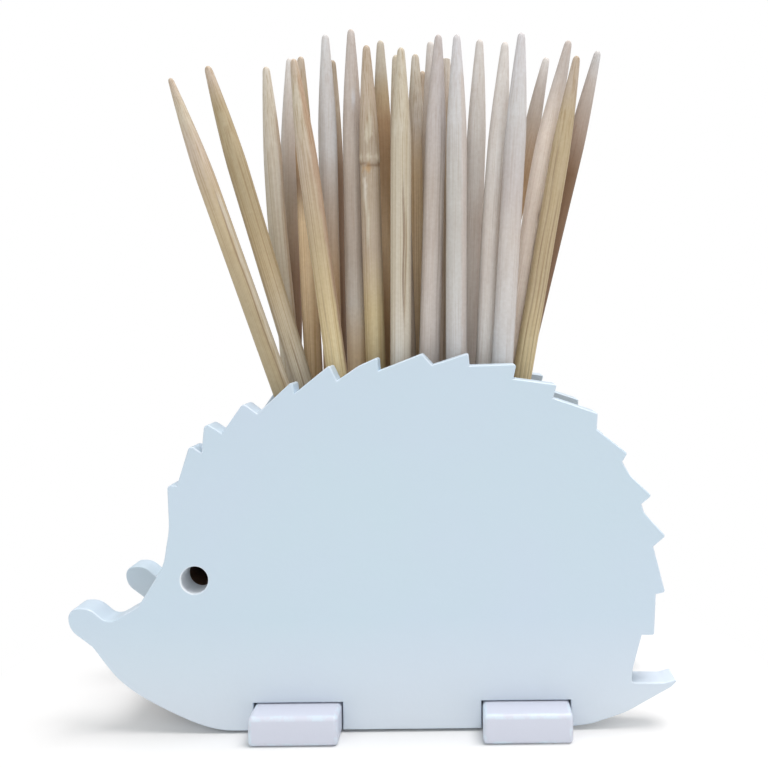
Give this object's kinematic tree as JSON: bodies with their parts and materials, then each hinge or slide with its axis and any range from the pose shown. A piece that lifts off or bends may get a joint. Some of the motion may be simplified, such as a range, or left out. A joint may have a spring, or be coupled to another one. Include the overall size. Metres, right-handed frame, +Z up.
{
  "type": "toothpick dispenser",
  "caption": "Hedgehog-shaped free-standing holder: two saw-toothed board plates around a layered core with an open slot, on two cross bars, with toothpicks standing fanned out as its spines.",
  "frame": {"origin": "on the table under the foot bars, halfway from nose to tail and in the middle of the stack of plates and layers", "axes": "+Z up; +X from the nose to the tail; the front plate faces -Y"},
  "size_m": [0.0584, 0.0224, 0.0702],
  "materials": {
    "painted_board": "fibre board, smooth satin paint in a bluish off-white",
    "bare_board": "fibre board, unpainted, dark brown, matt",
    "birch": "bare birch, pale, fine grain",
    "bamboo": "bare bamboo, yellowish, coarse straight fibres"
  },
  "bodies": {
    "holder": {"front_plate": "painted_board", "back_plate": "painted_board", "slot_layer_1": "bare_board", "slot_layer_2": "bare_board", "slot_layer_3": "bare_board", "slot_layer_4": "bare_board", "foot_bar_left": "painted_board", "foot_bar_right": "painted_board"},
    "toothpick_far_left": {"toothpick_far_left": "bamboo"},
    "toothpick_stout_left": {"toothpick_stout_left": "bamboo"},
    "toothpick_split_middle": {"toothpick_split_middle": "bamboo"},
    "toothpick_front_middle": {"toothpick_front_middle": "birch"},
    "toothpick_front_pale": {"toothpick_front_pale": "birch"},
    "toothpick_front_right": {"toothpick_front_right": "birch"},
    "toothpick_second_left": {"toothpick_second_left": "birch"},
    "toothpick_upright_left": {"toothpick_upright_left": "birch"},
    "toothpick_second_middle": {"toothpick_second_middle": "bamboo"},
    "toothpick_second_right": {"toothpick_second_right": "birch"},
    "toothpick_yellow_right": {"toothpick_yellow_right": "bamboo"},
    "toothpick_wide_left": {"toothpick_wide_left": "bamboo"},
    "toothpick_knotted": {"toothpick_knotted": "bamboo"},
    "toothpick_third_middle": {"toothpick_third_middle": "bamboo"},
    "toothpick_third_pale": {"toothpick_third_pale": "birch"},
    "toothpick_third_right": {"toothpick_third_right": "birch"},
    "toothpick_wide_right": {"toothpick_wide_right": "birch"},
    "toothpick_fourth_left": {"toothpick_fourth_left": "bamboo"},
    "toothpick_fourth_brown": {"toothpick_fourth_brown": "bamboo"},
    "toothpick_fourth_narrow": {"toothpick_fourth_narrow": "bamboo"},
    "toothpick_fourth_middle": {"toothpick_fourth_middle": "birch"},
    "toothpick_fourth_right": {"toothpick_fourth_right": "bamboo"},
    "toothpick_far_right": {"toothpick_far_right": "birch"},
    "toothpick_back_left": {"toothpick_back_left": "birch"},
    "toothpick_back_middle": {"toothpick_back_middle": "bamboo"},
    "toothpick_back_right": {"toothpick_back_right": "birch"}
  },
  "joints": [
    {"name": "draw_far_left", "type": "slide", "parent": "holder", "child": "toothpick_far_left", "axis": [-0.3239, -0.0192, 0.9459], "range_m": [0, 0.034]},
    {"name": "draw_stout_left", "type": "slide", "parent": "holder", "child": "toothpick_stout_left", "axis": [-0.1322, 0.0209, 0.991], "range_m": [0, 0.034]},
    {"name": "draw_split_middle", "type": "slide", "parent": "holder", "child": "toothpick_split_middle", "axis": [0.0105, 0, 0.9999], "range_m": [0, 0.034]},
    {"name": "draw_front_middle", "type": "slide", "parent": "holder", "child": "toothpick_front_middle", "axis": [0.0384, 0.0244, 0.999], "range_m": [0, 0.034]},
    {"name": "draw_front_pale", "type": "slide", "parent": "holder", "child": "toothpick_front_pale", "axis": [0.0122, 0.007, 0.9999], "range_m": [0, 0.034]},
    {"name": "draw_front_right", "type": "slide", "parent": "holder", "child": "toothpick_front_right", "axis": [0.0698, 0.007, 0.9975], "range_m": [0, 0.034]},
    {"name": "draw_second_left", "type": "slide", "parent": "holder", "child": "toothpick_second_left", "axis": [-0.0087, -0.0244, 0.9997], "range_m": [0, 0.034]},
    {"name": "draw_upright_left", "type": "slide", "parent": "holder", "child": "toothpick_upright_left", "axis": [-0.0017, -0.0262, 0.9997], "range_m": [0, 0.034]},
    {"name": "draw_second_middle", "type": "slide", "parent": "holder", "child": "toothpick_second_middle", "axis": [0.0035, 0.0122, 0.9999], "range_m": [0, 0.034]},
    {"name": "draw_second_right", "type": "slide", "parent": "holder", "child": "toothpick_second_right", "axis": [0.0715, 0.0227, 0.9972], "range_m": [0, 0.034]},
    {"name": "draw_yellow_right", "type": "slide", "parent": "holder", "child": "toothpick_yellow_right", "axis": [0.177, -0.0279, 0.9838], "range_m": [0, 0.034]},
    {"name": "draw_wide_left", "type": "slide", "parent": "holder", "child": "toothpick_wide_left", "axis": [-0.2755, -0.0262, 0.9609], "range_m": [0, 0.034]},
    {"name": "draw_knotted", "type": "slide", "parent": "holder", "child": "toothpick_knotted", "axis": [-0.0157, -0.0384, 0.9991], "range_m": [0, 0.034]},
    {"name": "draw_third_middle", "type": "slide", "parent": "holder", "child": "toothpick_third_middle", "axis": [-0.0262, 0.0087, 0.9996], "range_m": [0, 0.034]},
    {"name": "draw_third_pale", "type": "slide", "parent": "holder", "child": "toothpick_third_pale", "axis": [0, 0.0157, 0.9999], "range_m": [0, 0.034]},
    {"name": "draw_third_right", "type": "slide", "parent": "holder", "child": "toothpick_third_right", "axis": [0.0454, -0.0209, 0.9988], "range_m": [0, 0.034]},
    {"name": "draw_wide_right", "type": "slide", "parent": "holder", "child": "toothpick_wide_right", "axis": [0.1942, -0.014, 0.9809], "range_m": [0, 0.034]},
    {"name": "draw_fourth_left", "type": "slide", "parent": "holder", "child": "toothpick_fourth_left", "axis": [-0.0767, 0.0209, 0.9968], "range_m": [0, 0.034]},
    {"name": "draw_fourth_brown", "type": "slide", "parent": "holder", "child": "toothpick_fourth_brown", "axis": [-0.0244, -0.0192, 0.9995], "range_m": [0, 0.034]},
    {"name": "draw_fourth_narrow", "type": "slide", "parent": "holder", "child": "toothpick_fourth_narrow", "axis": [-0.007, -0.0192, 0.9998], "range_m": [0, 0.034]},
    {"name": "draw_fourth_middle", "type": "slide", "parent": "holder", "child": "toothpick_fourth_middle", "axis": [0.0052, -0.0052, 1], "range_m": [0, 0.034]},
    {"name": "draw_fourth_right", "type": "slide", "parent": "holder", "child": "toothpick_fourth_right", "axis": [0.0157, 0.0209, 0.9997], "range_m": [0, 0.034]},
    {"name": "draw_far_right", "type": "slide", "parent": "holder", "child": "toothpick_far_right", "axis": [0.24, -0.0436, 0.9698], "range_m": [0, 0.034]},
    {"name": "draw_back_left", "type": "slide", "parent": "holder", "child": "toothpick_back_left", "axis": [0.0157, -0.007, 0.9999], "range_m": [0, 0.034]},
    {"name": "draw_back_middle", "type": "slide", "parent": "holder", "child": "toothpick_back_middle", "axis": [0.0471, -0.0035, 0.9989], "range_m": [0, 0.034]},
    {"name": "draw_back_right", "type": "slide", "parent": "holder", "child": "toothpick_back_right", "axis": [0.2266, -0.0227, 0.9737], "range_m": [0, 0.034]}
  ]
}
